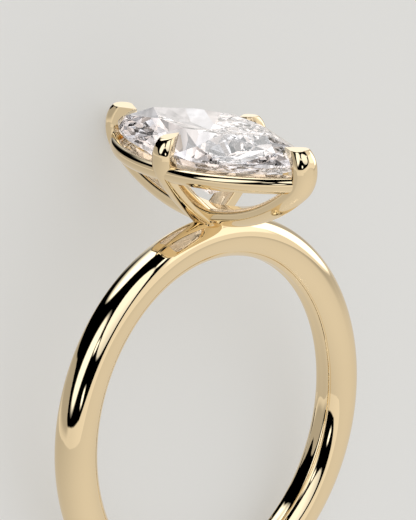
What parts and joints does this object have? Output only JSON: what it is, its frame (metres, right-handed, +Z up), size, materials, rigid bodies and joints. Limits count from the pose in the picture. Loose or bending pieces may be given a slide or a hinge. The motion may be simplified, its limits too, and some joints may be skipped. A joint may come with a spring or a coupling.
{
  "type": "solitaire engagement ring",
  "caption": "Solitaire ring: a long stone pointed at both ends, held by claws and a gallery rail on a plain round-wire band.",
  "frame": {"origin": "on the floor, under the middle of the ring's bounding box as it lies on its side", "axes": "+Y from the foot of the band towards the stone, +X across the band, +Z up from the floor"},
  "size_m": [0.0206, 0.0264, 0.0139],
  "materials": {
    "yellow_gold": "high polish, pale yellow",
    "clear_stone": "polished facets, colourless"
  },
  "bodies": {
    "root": {"band_with_setting": "yellow_gold", "stone": "clear_stone"}
  },
  "joints": []
}
